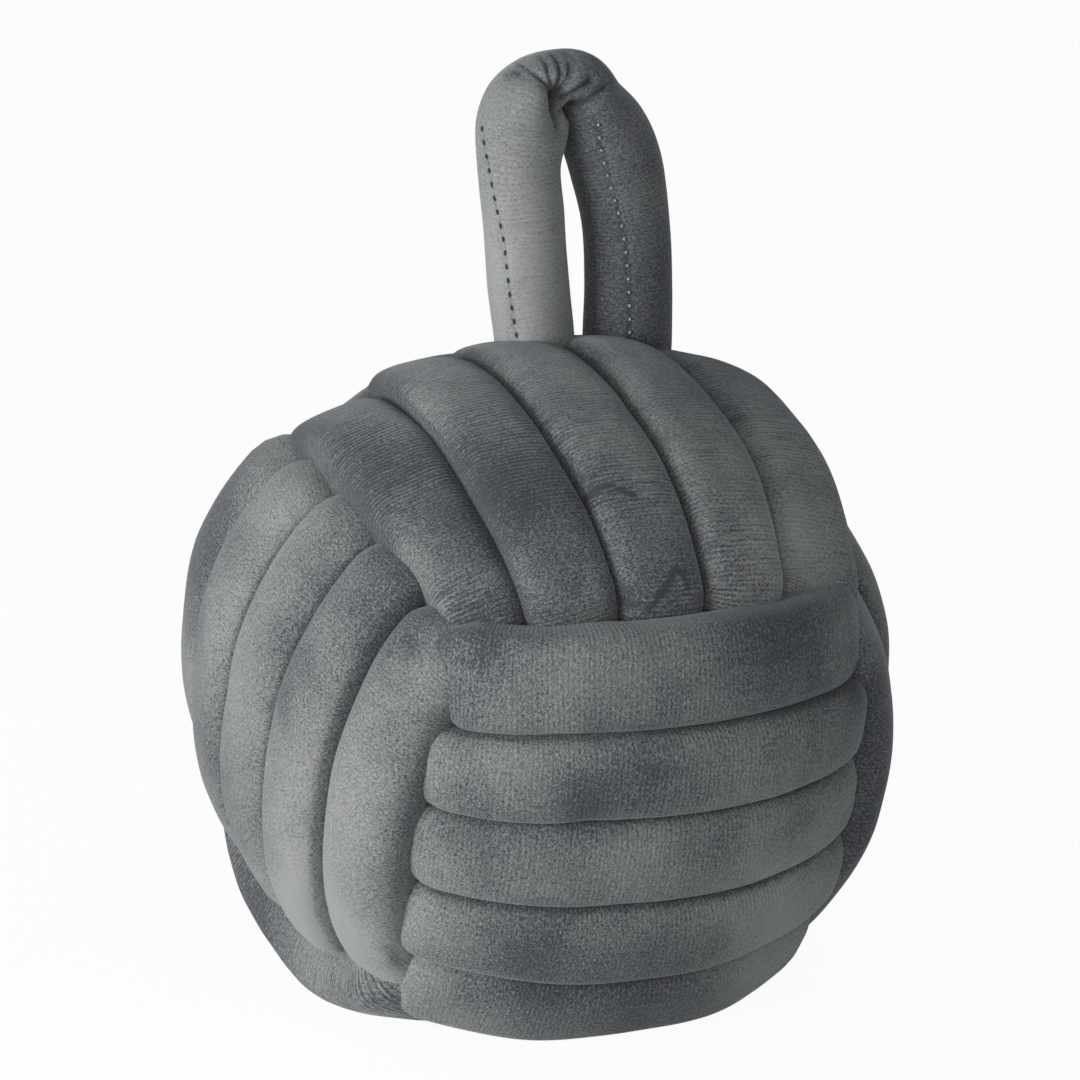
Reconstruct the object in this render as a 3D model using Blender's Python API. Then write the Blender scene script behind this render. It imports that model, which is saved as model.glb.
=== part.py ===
"""Knot doorstop: a weighted ball wound from stuffed velvet tube, with a loop handle.

Three windings of five turns cross at right angles as in a monkey's fist. Each winding lies
inside the next one on two sides of the ball and outside it on the other two. Inside them
sits a tied pouch of sand, and a stuffed loop of the same velvet stands behind the crown.

Units are metres, +Z is up and the front of the ball faces -Y. All parts are worked out
round the ball's centre first. Then the ball leans forward, settles on the floor and is
moved so that its base stands at Z = 0 under the centre of its own box.
"""
import bpy
import bmesh
from math import asin, atan2, cos, degrees, hypot, pi, radians, sin, sqrt
from mathutils import Matrix, Vector
from mathutils.bvhtree import BVHTree

MM = 0.001

# The stuffed tube of the windings
TURNS = 5
STRAND_WIDTH = 20.9 * MM
STRAND_THICKNESS = 17.0 * MM
TUCKED_THICKNESS = 11.0 * MM
STRAND_GAP = 1.2 * MM
STRAND_SIDES = 8
POINTS_PER_TURN = 24
SECTION_POWER = 2.9
END_TAPER = 0.8
TANGENT_STEP = radians(0.5)

# How the bands lie round the ball
BALL_POWER = 2.32
MERIDIAN_STEPS = 400
CORNER_ROOM = 0.83
DIVE_START = radians(37)
DIVE_END = radians(52)
TUCKED_SHARE = 0.715
CORNER_SHARE = 0.81
CORNER_ANGLE = radians(45)
OPEN_ANGLE = radians(77)
EDGE_BULGE = 0.26
THICKENING_START = radians(42)
THICKENING_END = radians(54)
SECTION_TILT = 0.48
CLIMB_HALF_ANGLE = radians(43)
END_ANGLE = radians(37.5)
CORNER_CROWDING = 0.22

# How the ball sits
LEAN = radians(18.4)
SETTLE_DEPTH = 6.0 * MM
SETTLE_SOFTNESS = 2.0 * MM
BASE_CUT = 0.5 * MM

# The loop handle
HANDLE_DIAMETER = 20.0 * MM
HANDLE_RISE = 69.5 * MM
FINGER_GAP = 6.4 * MM
FOOT_GAP = 3.4 * MM
FOOT_BLEND = 26.0 * MM
BOX_SHARE = 0.86
BOX_REACH = 0.7
BOX_STEP = 0.1 * MM
SLEEVE_WALL = 1.2 * MM
SLEEVE_SIDES = 16
CRACK_REACH = 2.2 * MM
LOOKS_ROUND = 12
LEG_RINGS = 8
BEND_RINGS = 12
HANDLE_BACK_SHARE = 0.78
HANDLE_STRANDS_ASIDE = 0.93
FILLING_FOOT_SHARES = (1, 0.75, 0.5, 0.25)

# The sand pouch in the middle
POUCH_WALL = 1.0 * MM
POUCH_DROP = 4.0 * MM
NECK_RADIUS = 5.0 * MM
NECK_BORE = 2.6 * MM
NECK_HEIGHT = 6.0 * MM
TIE_THICKNESS = 1.8 * MM
SAND_FILL_SHARE = 0.72
POUCH_SEGMENTS = 32
POUCH_RINGS = 14
POUCH_BOTTOM_ANGLE = radians(88)
TIE_STEPS = 24
TIE_SIDES = 8

# Clear space between pieces that touch
CLEARANCE = 0.3 * MM
SEAT_CLEARANCE = 0.3 * MM

# Sizes that follow from those above
STRAND_PITCH = STRAND_WIDTH + STRAND_GAP
LAYER_STEP = (STRAND_THICKNESS + TUCKED_THICKNESS) / 2 + STRAND_GAP
OUTER_LAYER = TURNS * STRAND_PITCH / 2 + CORNER_ROOM * STRAND_THICKNESS
INNER_LAYER = OUTER_LAYER - LAYER_STEP
BALL_RADIUS = OUTER_LAYER + STRAND_THICKNESS / 2
EDGE_LEVEL = (TURNS - 1) / 2

# Colours as the photograph shows them, in linear values
VELVET_GREY = (0.165, 0.172, 0.182, 1)
VELVET_LIGHT = (0.205, 0.212, 0.222, 1)
VELVET_DARK = (0.130, 0.136, 0.146, 1)
WADDING_WHITE = (0.80, 0.79, 0.76, 1)
POUCH_CLOTH = (0.62, 0.60, 0.56, 1)
SAND_TAN = (0.50, 0.39, 0.26, 1)
CORD_WHITE = (0.72, 0.70, 0.64, 1)


def smooth_step(x):
    """Rise smoothly from 0 to 1 while x goes from 0 to 1."""
    x = min(max(x, 0.0), 1.0)
    return x * x * (3 - 2 * x)


def signed_power(x, power):
    return abs(x) ** power if x >= 0 else -(abs(x) ** power)


def meridian_table():
    """The ball's round from its equator to its pole, as (arc length, height) for radius 1."""
    reach = 2 / BALL_POWER
    table = [(0.0, 0.0)]
    before = (1.0, 0.0)
    for step in range(1, MERIDIAN_STEPS + 1):
        angle = pi / 2 * step / MERIDIAN_STEPS
        place = (cos(angle) ** reach, sin(angle) ** reach)
        length = table[-1][0] + hypot(place[0] - before[0], place[1] - before[1])
        table.append((length, place[1]))
        before = place
    return table


def height_at(table, level):
    """Height of a strand on the ball of radius 1, laid side by side from the band's middle."""
    wanted = min(abs(level) * STRAND_PITCH / OUTER_LAYER, table[-1][0])
    for before, after in zip(table, table[1:]):
        if after[0] >= wanted:
            share = (wanted - before[0]) / (after[0] - before[0])
            height = before[1] + share * (after[1] - before[1])
            return height if level >= 0 else -height


def strand_centre(table, level, angle, fold):
    """Centre of the strand at this level and angle; fold is the angle from the tuck's middle.

    The winding lies in the XY plane, outside at both Y sides and tucked at both X sides.
    """
    height = height_at(table, level)
    risen = smooth_step((fold - DIVE_START) / (DIVE_END - DIVE_START))
    layer = INNER_LAYER + LAYER_STEP * risen
    if fold >= CORNER_ANGLE:
        opened = smooth_step((fold - CORNER_ANGLE) / (OPEN_ANGLE - CORNER_ANGLE))
        share = CORNER_SHARE + (1 - CORNER_SHARE) * opened
    else:
        share = TUCKED_SHARE + (CORNER_SHARE - TUCKED_SHARE) * smooth_step(fold / CORNER_ANGLE)
    level_round = (1 - abs(height) ** BALL_POWER) ** (1 / BALL_POWER)
    level_round *= 1 + EDGE_BULGE * height * height
    squareness = abs(cos(angle)) ** BALL_POWER + abs(sin(angle)) ** BALL_POWER
    level_round /= squareness ** (1 / BALL_POWER)
    return Vector((level_round * cos(angle), level_round * sin(angle), height * share)) * layer


def fold_from_tuck(angle):
    """Angle from the nearest middle of a tuck, which lie at angle 0 and half a turn."""
    local = (angle + pi / 2) % pi - pi / 2
    return abs(local)


def level_at(angle):
    """Which strand the tube has reached: it climbs one level while tucked at +X."""
    turn = (angle + pi) // (2 * pi)
    local = angle - turn * 2 * pi
    climbed = smooth_step((local + CLIMB_HALF_ANGLE) / (2 * CLIMB_HALF_ANGLE))
    level = turn - 1 + climbed - EDGE_LEVEL
    return min(max(level, -EDGE_LEVEL), EDGE_LEVEL)


def strand_section(table, angle):
    """One station of the tube: centre, outward normal, half width and half thickness."""
    level = level_at(angle)
    fold = fold_from_tuck(angle)
    centre = strand_centre(table, level, angle, fold)
    onward = angle + TANGENT_STEP
    ahead = strand_centre(table, level, onward, fold_from_tuck(onward))
    tangent = (ahead - centre).normalized()
    beside = []
    for step in (-1, 1):
        if abs(level + step) <= EDGE_LEVEL:
            across = strand_centre(table, level + step, angle, fold) - centre
            beside.append((across - across.dot(tangent) * tangent).length)
    pitch_here = min(beside) if beside else STRAND_PITCH
    slope = [signed_power(value / OUTER_LAYER, BALL_POWER - 1) for value in centre]
    normal = Vector((slope[0], slope[1], slope[2] * SECTION_TILT)).normalized()
    full = smooth_step((fold - THICKENING_START) / (THICKENING_END - THICKENING_START))
    thickness = TUCKED_THICKNESS + (STRAND_THICKNESS - TUCKED_THICKNESS) * full
    return centre, normal, (pitch_here - STRAND_GAP) / 2, thickness / 2


def winding_route():
    """Stations of one winding, from its first tucked end to its last.

    They lie closer together at the ball's corners, where the tube bends and dives.
    """
    table = meridian_table()
    turned = TURNS * 2 * pi - 2 * END_ANGLE
    count = round(turned / (2 * pi) * POINTS_PER_TURN)
    steady = [END_ANGLE + turned * step / count for step in range(count + 1)]
    angles = [angle + CORNER_CROWDING / 4 * sin(4 * angle) for angle in steady]
    stations = [strand_section(table, angle) for angle in angles]
    first = straight_end(table, angles[0], angles[0] + TANGENT_STEP)
    last = straight_end(table, angles[-1], angles[-1] - TANGENT_STEP)
    return [first] + stations + [last]


def straight_end(table, angle, back):
    """One more station, one tube diameter straight on from an end, drawn in a little."""
    centre, normal, half_width, half_thickness = strand_section(table, angle)
    before = strand_centre(table, level_at(angle), back, fold_from_tuck(back))
    reach = half_width + half_thickness
    return (centre + (centre - before).normalized() * reach, normal,
            half_width * END_TAPER, half_thickness * END_TAPER)


def section_outline(sides):
    """Unit outline of the tube's section: a squarish oval whose flats touch 1 on each side."""
    outline = []
    for side in range(sides):
        angle = (side + 0.5) / sides * 2 * pi
        outline.append((signed_power(cos(angle), 2 / SECTION_POWER),
                        signed_power(sin(angle), 2 / SECTION_POWER)))
    reach = max(abs(place[0]) for place in outline)
    return [(a / reach, b / reach) for a, b in outline]


def tube_rings(stations, outline):
    """Rings of points that follow the stations, each square to the tube's own direction."""
    centres = [station[0] for station in stations]
    rings = []
    for index, (centre, normal, half_width, half_thickness) in enumerate(stations):
        before = centres[max(index - 1, 0)]
        after = centres[min(index + 1, len(centres) - 1)]
        tangent = (after - before).normalized()
        outward = (normal - normal.dot(tangent) * tangent).normalized()
        sideways = tangent.cross(outward)
        rings.append([centre + sideways * (a * half_width) + outward * (b * half_thickness)
                      for a, b in outline])
    return rings


def least_gap_to_itself(rings, apart):
    """Least distance from the tube's points to its faces more than so many rings away."""
    sides = len(rings[0])
    least = 1.0
    points = [point for ring in rings for point in ring]
    for index in range(0, len(rings), 4):
        checked = range(index, min(index + 4, len(rings)))
        others = []
        for start in range(len(rings) - 1):
            if start + 1 < checked[0] - apart or start > checked[-1] + apart:
                for side in range(sides):
                    following = (side + 1) % sides
                    others.append((start * sides + side, start * sides + following,
                                   (start + 1) * sides + following,
                                   (start + 1) * sides + side))
        tree = BVHTree.FromPolygons(points, others)
        for ring in checked:
            for point in rings[ring]:
                least = min(least, tree.find_nearest(point)[3])
    return least


def leaned(point):
    """Lean the ball forward, so that its crown tips towards the front."""
    return Matrix.Rotation(LEAN, 4, "X") @ point


def settled(point, lowest):
    """Press a point that lies below the settled floor back up against it, softly."""
    height = point.z - (lowest + SETTLE_DEPTH)
    pressed = (height + sqrt(height * height + 4 * SETTLE_SOFTNESS ** 2)) / 2
    return Vector((point.x, point.y, pressed))


def skin_rings(mesh, rings, capped):
    """Faces round a row of rings, with its two ends capped or joined to nothing."""
    loops = [[mesh.verts.new(point) for point in ring] for ring in rings]
    for near, far in zip(loops, loops[1:]):
        for side in range(len(near)):
            following = (side + 1) % len(near)
            mesh.faces.new((near[side], near[following], far[following], far[side]))
    if capped:
        mesh.faces.new(list(reversed(loops[0])))
        mesh.faces.new(loops[-1])
    return loops


def join_loops(mesh, outer, inner):
    """A rim of faces between an outer and an inner loop."""
    for side in range(len(outer)):
        following = (side + 1) % len(outer)
        mesh.faces.new((outer[side], outer[following], inner[following], inner[side]))


def velvet_material(name, colour, roughness):
    material = bpy.data.materials.new(name)
    material.use_nodes = True
    shader = material.node_tree.nodes["Principled BSDF"]
    shader.inputs["Base Color"].default_value = colour
    shader.inputs["Roughness"].default_value = roughness
    shader.inputs["Metallic"].default_value = 0.0
    material.diffuse_color = colour
    return material


def finished_object(name, mesh, colour, roughness):
    """Turn a bmesh into a named, smooth-shaded object with its own material."""
    bmesh.ops.recalc_face_normals(mesh, faces=mesh.faces)
    data = bpy.data.meshes.new(name)
    mesh.to_mesh(data)
    mesh.free()
    for polygon in data.polygons:
        polygon.use_smooth = True
    data.materials.append(velvet_material(name + "_material", colour, roughness))
    part = bpy.data.objects.new(name, data)
    bpy.context.collection.objects.link(part)
    return part


def cut_flat(mesh, height):
    """Cut the mesh flat at this height and close the cuts."""
    geometry = mesh.verts[:] + mesh.edges[:] + mesh.faces[:]
    cut = bmesh.ops.bisect_plane(mesh, geom=geometry, dist=0.001 * MM,
                                 plane_co=(0, 0, height), plane_no=(0, 0, -1),
                                 clear_outer=True)
    edges = [item for item in cut["geom_cut"] if isinstance(item, bmesh.types.BMEdge)]
    if edges:
        bmesh.ops.holes_fill(mesh, edges=edges, sides=0)


def make_windings():
    """The three windings, leaned and settled, as sets of rings."""
    rings = tube_rings(winding_route(), section_outline(STRAND_SIDES))
    gap = least_gap_to_itself(rings, apart=POINTS_PER_TURN // 4)
    print("least gap of a winding to itself: %.2f mm" % (gap / MM))
    windings = []
    for thirds in range(3):
        turn = Matrix.Rotation(-thirds * 2 * pi / 3, 4, Vector((1, 1, 1)))
        windings.append([[leaned(turn @ point) for point in ring] for ring in rings])
    lowest = min(point.z for winding in windings for ring in winding for point in ring)
    return [[[settled(point, lowest) for point in ring] for ring in winding]
            for winding in windings], lowest + SETTLE_DEPTH


def windings_tree(windings):
    """All strands as one tree of faces that the handle's feet can be laid on."""
    points = []
    faces = []
    for rings in windings:
        sides = len(rings[0])
        for index, ring in enumerate(rings):
            first = len(points)
            points.extend(ring)
            if index:
                for side in range(sides):
                    following = (side + 1) % sides
                    faces.append((first - sides + side, first - sides + following,
                                  first + following, first + side))
    return BVHTree.FromPolygons(points, faces)


def leg_gap(height, foot_height):
    """Clear gap between the handle's legs at this height."""
    return FOOT_GAP + (FINGER_GAP - FOOT_GAP) * smooth_step((height - foot_height) / FOOT_BLEND)


def handle_route(middle, crown, foot_height):
    """Centre line of the loop from its left foot over the bend to its right foot."""
    half_spacing = (HANDLE_DIAMETER + FINGER_GAP) / 2
    bend_height = crown + HANDLE_RISE - HANDLE_DIAMETER / 2 - half_spacing
    leg = []
    for step in range(LEG_RINGS):
        height = foot_height + (bend_height - foot_height) * step / LEG_RINGS
        leg.append(((HANDLE_DIAMETER + leg_gap(height, foot_height)) / 2, height))
    bend = []
    for step in range(BEND_RINGS + 1):
        angle = pi * step / BEND_RINGS
        bend.append((-half_spacing * cos(angle), bend_height + half_spacing * sin(angle)))
    route = [(-across, height) for across, height in leg] + bend + list(reversed(leg))
    return [Vector((middle.x + across, middle.y, height)) for across, height in route]


def round_rings(route, radius, sides):
    """Round rings along a route that stays in a plane facing the front."""
    facing = Vector((0, 1, 0))
    rings = []
    for index, centre in enumerate(route):
        before = route[max(index - 1, 0)]
        after = route[min(index + 1, len(route) - 1)]
        tangent = (after - before).normalized()
        across = tangent.cross(facing)
        rings.append([centre + across * (radius * cos(2 * pi * side / sides))
                      + facing * (radius * sin(2 * pi * side / sides))
                      for side in range(sides)])
    return rings


def laid_on(tree, ring, above):
    """Carry each point of a foot ring straight down to the highest strand just round it.

    Looking a little way round each point keeps the foot out of the cracks between strands.
    """
    laid = []
    for point in ring:
        heights = []
        for look in range(LOOKS_ROUND):
            angle = 2 * pi * look / LOOKS_ROUND
            start = Vector((point.x + CRACK_REACH * cos(angle),
                            point.y + CRACK_REACH * sin(angle), above))
            heights.append(tree.ray_cast(start, Vector((0, 0, -1)))[0].z)
        laid.append(Vector((point.x, point.y, max(heights) + SEAT_CLEARANCE)))
    return laid


def height_over_feet(tree, middle, crown):
    """Height at which both feet of the handle clear the highest strand under them."""
    around = []
    for foot in (-1, 1):
        spot = middle + Vector((foot * (HANDLE_DIAMETER + FOOT_GAP) / 2, 0, 0))
        for side in range(SLEEVE_SIDES):
            angle = 2 * pi * side / SLEEVE_SIDES
            around.append(spot + Vector((cos(angle), sin(angle), 0)) * (HANDLE_DIAMETER / 2))
    laid = laid_on(tree, around, crown + HANDLE_RISE)
    return max(point.z for point in laid) + SEAT_CLEARANCE


def make_handle(tree, middle, crown, foot_height):
    """The velvet sleeve of the loop and the wadding inside it."""
    outer_radius = HANDLE_DIAMETER / 2
    inner_radius = outer_radius - SLEEVE_WALL
    route = handle_route(middle, crown, foot_height)
    mesh = bmesh.new()
    rims = []
    for radius in (outer_radius, inner_radius):
        rings = round_rings(route, radius, SLEEVE_SIDES)
        first = laid_on(tree, rings[0], crown + HANDLE_RISE)
        last = laid_on(tree, rings[-1], crown + HANDLE_RISE)
        loops = skin_rings(mesh, [first] + rings + [last], capped=False)
        rims.append((loops[0], loops[-1]))
    for end in (0, 1):
        join_loops(mesh, rims[0][end], rims[1][end])
    sleeve = finished_object("handle_sleeve", mesh, VELVET_GREY, 0.95)
    mesh = bmesh.new()
    wadding_radius = inner_radius - CLEARANCE
    rings = round_rings(route, wadding_radius, SLEEVE_SIDES)
    feet = []
    for ring in (rings[0], rings[-1]):
        middle_point = sum(ring, Vector()) / len(ring)
        inward = [[middle_point + (point - middle_point) * share for point in ring]
                  for share in FILLING_FOOT_SHARES]
        feet.append([laid_on(tree, part, crown + HANDLE_RISE) for part in inward])
    skin_rings(mesh, list(reversed(feet[0])) + rings + feet[1], capped=True)
    bmesh.ops.poke(mesh, faces=[face for face in mesh.faces if len(face.verts) > 4])
    filling = finished_object("handle_filling", mesh, WADDING_WHITE, 1.0)
    return sleeve, filling


def report_finger_gap(middle, crown, foot_height):
    """Print the box between the handle's legs that the record states as an opening.

    It starts where the legs have opened to the box's width and ends inside the bend.
    """
    half_gap = FINGER_GAP / 2
    half_box = half_gap * BOX_SHARE
    bend_height = crown + HANDLE_RISE - HANDLE_DIAMETER - half_gap
    bottom = foot_height
    while leg_gap(bottom, foot_height) < 2 * half_box + CLEARANCE and bottom < bend_height:
        bottom += BOX_STEP
    top = bend_height + sqrt(half_gap ** 2 - half_box ** 2)
    reach = BOX_REACH * HANDLE_DIAMETER
    low = Vector((middle.x - half_box, middle.y - reach, bottom))
    high = Vector((middle.x + half_box, middle.y + reach, top))
    print("finger gap box in metres: [%.5f, %.5f, %.5f] [%.5f, %.5f, %.5f]" % (*low, *high))


def turned_rings(profile, centre, segments):
    """Rings of a turned shape from its (radius, height) profile."""
    return [[centre + Vector((radius * cos(2 * pi * step / segments),
                              radius * sin(2 * pi * step / segments), height))
             for step in range(segments)] for radius, height in profile]


def ball_profile(radius, lowest_angle, highest_angle, rings):
    """Profile of a ball between two angles of height, measured from the centre."""
    profile = []
    for step in range(rings + 1):
        angle = lowest_angle + (highest_angle - lowest_angle) * step / rings
        profile.append((radius * cos(angle), radius * sin(angle)))
    return profile


def make_pouch(centre, radius):
    """The tied cloth pouch: a ball-shaped shell with a narrow gathered neck."""
    inner = radius - POUCH_WALL
    top_outer = atan2(sqrt(radius ** 2 - NECK_RADIUS ** 2), NECK_RADIUS)
    top_inner = atan2(sqrt(inner ** 2 - NECK_BORE ** 2), NECK_BORE)
    outside = ball_profile(radius, -POUCH_BOTTOM_ANGLE, top_outer, POUCH_RINGS)
    outside.append((NECK_RADIUS, radius + NECK_HEIGHT))
    inside = ball_profile(inner, -POUCH_BOTTOM_ANGLE, top_inner, POUCH_RINGS)
    inside.append((NECK_BORE, radius + NECK_HEIGHT))
    mesh = bmesh.new()
    shells = []
    for profile in (outside, inside):
        loops = skin_rings(mesh, turned_rings(profile, centre, POUCH_SEGMENTS), capped=False)
        mesh.faces.new(loops[0])
        shells.append(loops)
    join_loops(mesh, shells[0][-1], shells[1][-1])
    return finished_object("weight_pouch", mesh, POUCH_CLOTH, 0.9)


def make_sand(centre, pouch_radius):
    """The sand, filling the pouch up to a level top."""
    radius = pouch_radius - POUCH_WALL - CLEARANCE
    level = asin(2 * SAND_FILL_SHARE - 1)
    mesh = bmesh.new()
    profile = ball_profile(radius, -POUCH_BOTTOM_ANGLE, level, POUCH_RINGS)
    skin_rings(mesh, turned_rings(profile, centre, POUCH_SEGMENTS), capped=True)
    return finished_object("sand_fill", mesh, SAND_TAN, 1.0)


def make_tie(centre, pouch_radius):
    """The cord tied round the pouch's neck, closed on itself."""
    ring_radius = NECK_RADIUS + CLEARANCE + TIE_THICKNESS / 2
    height = pouch_radius + NECK_HEIGHT / 2
    mesh = bmesh.new()
    loops = []
    for step in range(TIE_STEPS):
        angle = 2 * pi * step / TIE_STEPS
        outward = Vector((cos(angle), sin(angle), 0))
        middle = centre + outward * ring_radius + Vector((0, 0, height))
        loops.append([mesh.verts.new(middle + (outward * cos(turn) + Vector((0, 0, sin(turn))))
                                     * (TIE_THICKNESS / 2))
                      for turn in (2 * pi * side / TIE_SIDES for side in range(TIE_SIDES))])
    for near, far in zip(loops, loops[1:] + loops[:1]):
        join_loops(mesh, near, far)
    return finished_object("pouch_tie", mesh, CORD_WHITE, 0.8)


def make_winding(name, rings, colour):
    """One winding of stuffed tube, cut flat where it stands."""
    mesh = bmesh.new()
    skin_rings(mesh, rings, capped=True)
    cut_flat(mesh, BASE_CUT)
    return finished_object(name, mesh, colour, 0.95)


def stand_at_origin(parts):
    """Move everything so that the base stands at Z = 0 under the middle of the box."""
    corners = [vertex.co for part in parts for vertex in part.data.vertices]
    low = Vector([min(corner[axis] for corner in corners) for axis in range(3)])
    high = Vector([max(corner[axis] for corner in corners) for axis in range(3)])
    shift = Vector((-(low.x + high.x) / 2, -(low.y + high.y) / 2, -low.z))
    for part in parts:
        part.data.transform(Matrix.Translation(shift))
    return shift


def main():
    for part in list(bpy.data.objects):
        bpy.data.objects.remove(part, do_unlink=True)
    windings, floor = make_windings()
    centre = Vector((0, 0, -floor))
    crown = centre.z + BALL_RADIUS
    names = ("front_back_winding", "left_right_winding", "top_bottom_winding")
    colours = (VELVET_GREY, VELVET_LIGHT, VELVET_DARK)
    lowest = min(point.z for winding in windings for ring in winding for point in ring)
    windings = [[[point - Vector((0, 0, lowest)) for point in ring] for ring in winding]
                for winding in windings]
    centre.z -= lowest
    crown -= lowest
    parts = [make_winding(*each) for each in zip(names, windings, colours)]
    back = leaned(Vector((0, HANDLE_BACK_SHARE * INNER_LAYER, HANDLE_BACK_SHARE * OUTER_LAYER)))
    middle = Vector((HANDLE_STRANDS_ASIDE * STRAND_PITCH, back.y, 0))
    strands = windings_tree(windings)
    foot_height = height_over_feet(strands, middle, crown)
    parts.extend(make_handle(strands, middle, crown, foot_height))
    pouch_centre = centre - Vector((0, 0, POUCH_DROP))
    pouch_radius = strands.find_nearest(pouch_centre)[3] - CLEARANCE
    parts.append(make_pouch(pouch_centre, pouch_radius))
    parts.append(make_sand(pouch_centre, pouch_radius))
    parts.append(make_tie(pouch_centre, pouch_radius))
    shift = stand_at_origin(parts)
    report_finger_gap(middle + shift, crown + shift.z, foot_height + shift.z)
    print("pouch radius: %.2f mm" % (pouch_radius / MM))
    print("ball's centre: z %.2f mm, lean %.1f degrees" % ((centre + shift).z / MM, degrees(LEAN)))


main()
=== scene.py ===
"""Knot doorstop: velvet ropes, stitched loop handle and sand pouch, laid over the frame.

Sizes are metres. Ropes follow the same rule as the frame's windings, with a full soft
section, closed creases and a velvet pile.
"""
from math import atan2, copysign, cos, degrees, hypot, pi, radians, sin, sqrt

import bmesh
import bpy
import numpy as np
from mathutils import Matrix, Vector


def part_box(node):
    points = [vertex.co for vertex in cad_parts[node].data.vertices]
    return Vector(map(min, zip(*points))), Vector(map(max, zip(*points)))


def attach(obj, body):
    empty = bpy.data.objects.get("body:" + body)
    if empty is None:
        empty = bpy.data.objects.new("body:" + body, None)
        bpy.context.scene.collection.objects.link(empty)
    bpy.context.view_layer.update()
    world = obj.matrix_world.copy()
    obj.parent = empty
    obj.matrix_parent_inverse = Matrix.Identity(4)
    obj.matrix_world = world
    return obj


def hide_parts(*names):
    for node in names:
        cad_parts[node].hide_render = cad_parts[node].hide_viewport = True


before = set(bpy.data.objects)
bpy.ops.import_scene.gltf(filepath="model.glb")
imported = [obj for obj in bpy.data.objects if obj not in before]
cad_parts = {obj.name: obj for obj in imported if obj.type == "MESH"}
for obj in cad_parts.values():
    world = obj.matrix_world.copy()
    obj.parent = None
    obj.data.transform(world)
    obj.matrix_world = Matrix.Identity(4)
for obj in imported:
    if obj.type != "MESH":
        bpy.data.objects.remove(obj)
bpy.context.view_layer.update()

MM = 0.001

# The ball of three windings, as the frame has it
TURNS = 5
STRAND_PITCH = 22.1 * MM
STRAND_THICKNESS = 17.0 * MM
TUCKED_THICKNESS = 11.0 * MM
STRAND_GAP = 1.2 * MM
BALL_POWER = 2.32
MERIDIAN_STEPS = 400
CORNER_ROOM = 0.83
DIVE_START = radians(36)
DIVE_END = radians(50)
TUCKED_SHARE = 0.72
CORNER_SHARE = 0.90
CORNER_ANGLE = radians(45)
OPEN_ANGLE = radians(77)
THICKENING_START = radians(38)
THICKENING_END = radians(50)
SECTION_TILT = 0.48
CLIMB_HALF_ANGLE = radians(43)
END_ANGLE = radians(37.5)
TANGENT_STEP = radians(0.5)
CORNER_CROWDING = 0.22
LAYER_STEP = (STRAND_THICKNESS + TUCKED_THICKNESS) / 2 + STRAND_GAP
OUTER_LAYER = TURNS * STRAND_PITCH / 2 + CORNER_ROOM * STRAND_THICKNESS
INNER_LAYER = OUTER_LAYER - LAYER_STEP
EDGE_LEVEL = (TURNS - 1) / 2

# How the ball sits on the floor
LEAN = radians(18.4)
CENTRE_HEIGHT = 72.49 * MM
PRESS_HEIGHT = 73.6 * MM
PRESS_SOFTNESS = 2.0 * MM

# The ropes' soft skin
ROPE_STATIONS = 1380
ROPE_SIDES = 60
ROPE_OVERLAP = 1.1 * MM
CORNER_FULLNESS = 2.4
EDGE_SWELL = 1.4 * MM
CORNER_SWELL = 2.2 * MM
LEVEL_SPREAD = 1.04
PRESSED_IN = 0.7 * MM
ROUND_END_STEPS = 10
MERGE_DISTANCE = 0.002 * MM
ROUNDING_GUARD = 0.0001

# How many degrees sooner each strand dives, five at the tuck on +X and five at the one on -X
NO_EARLY_DIVE = ((0, 0, 0, 0, 0), (0, 0, 0, 0, 0))
LEFT_RIGHT_EARLY_DIVE = ((-2, -1, 0, 3, 6), (3, 5, 3, 1, 0))

# Free edges pulled out, or in: side of the band, face, end (0 for all along) and millimetres
TOP_BOTTOM_PULLS = ((-1, 1, 0, -1.4), (-1, 1, -1, -5.6), (-1, -1, 0, 5.0), (1, -1, 0, 1.0))
PULL_END_SHARPNESS = 1.35

# The loop handle: stations in millimetres, across from its middle and down from its top,
# with half thickness, half depth and the seam's turn round the tube in degrees
HANDLE_STATIONS = (
    (-11.7, -104.0, 9.4, 9.8, 140.0),
    (-11.4, -86.0, 9.3, 9.8, 140.0),
    (-11.5, -70.3, 9.2, 9.8, 140.0),
    (-13.3, -55.5, 9.4, 9.9, 143.0),
    (-14.3, -41.0, 9.4, 9.9, 149.0),
    (-15.5, -28.5, 9.6, 10.0, 160.0),
    (-14.6, -19.5, 10.9, 10.4, 176.0),
    (-13.2, -13.6, 9.9, 10.8, 176.0),
    (-10.0, -9.6, 7.6, 11.0, 165.0),
    (-5.3, -7.7, 5.9, 11.2, 130.0),
    (-0.6, -8.8, 6.8, 11.0, 98.0),
    (2.5, -14.1, 7.9, 10.8, 70.0),
    (5.9, -20.8, 10.1, 10.5, 60.0),
    (9.4, -30.0, 10.8, 10.2, 57.0),
    (12.0, -43.5, 10.3, 10.0, 62.0),
    (12.7, -58.3, 10.3, 9.9, 67.0),
    (12.4, -73.0, 10.5, 9.8, 70.0),
    (11.9, -86.0, 10.0, 9.8, 70.0),
    (11.7, -104.0, 9.6, 9.8, 70.0),
)
HANDLE_STEPS = 400
HANDLE_SIDES = 84
HANDLE_FULLNESS = 2.15
# Tone of the loop's pile: the left leg paler and the right darker, partly the pile's lie and
# partly painted light from the left and painted shade on the right
LEFT_LEG_TONE_AND_LIGHT = 0.81
RIGHT_LEG_TONE_AND_SHADE = 0.20
LEG_TONE_CHANGE_START = 0.40
LEG_TONE_CHANGE_SPAN = 0.14
SLEEVE_WALL = 1.2 * MM
WADDING_CLEARANCE = 0.6 * MM
WADDING_SIDES = 48
WADDING_STEPS_SHORT = 6

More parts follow.
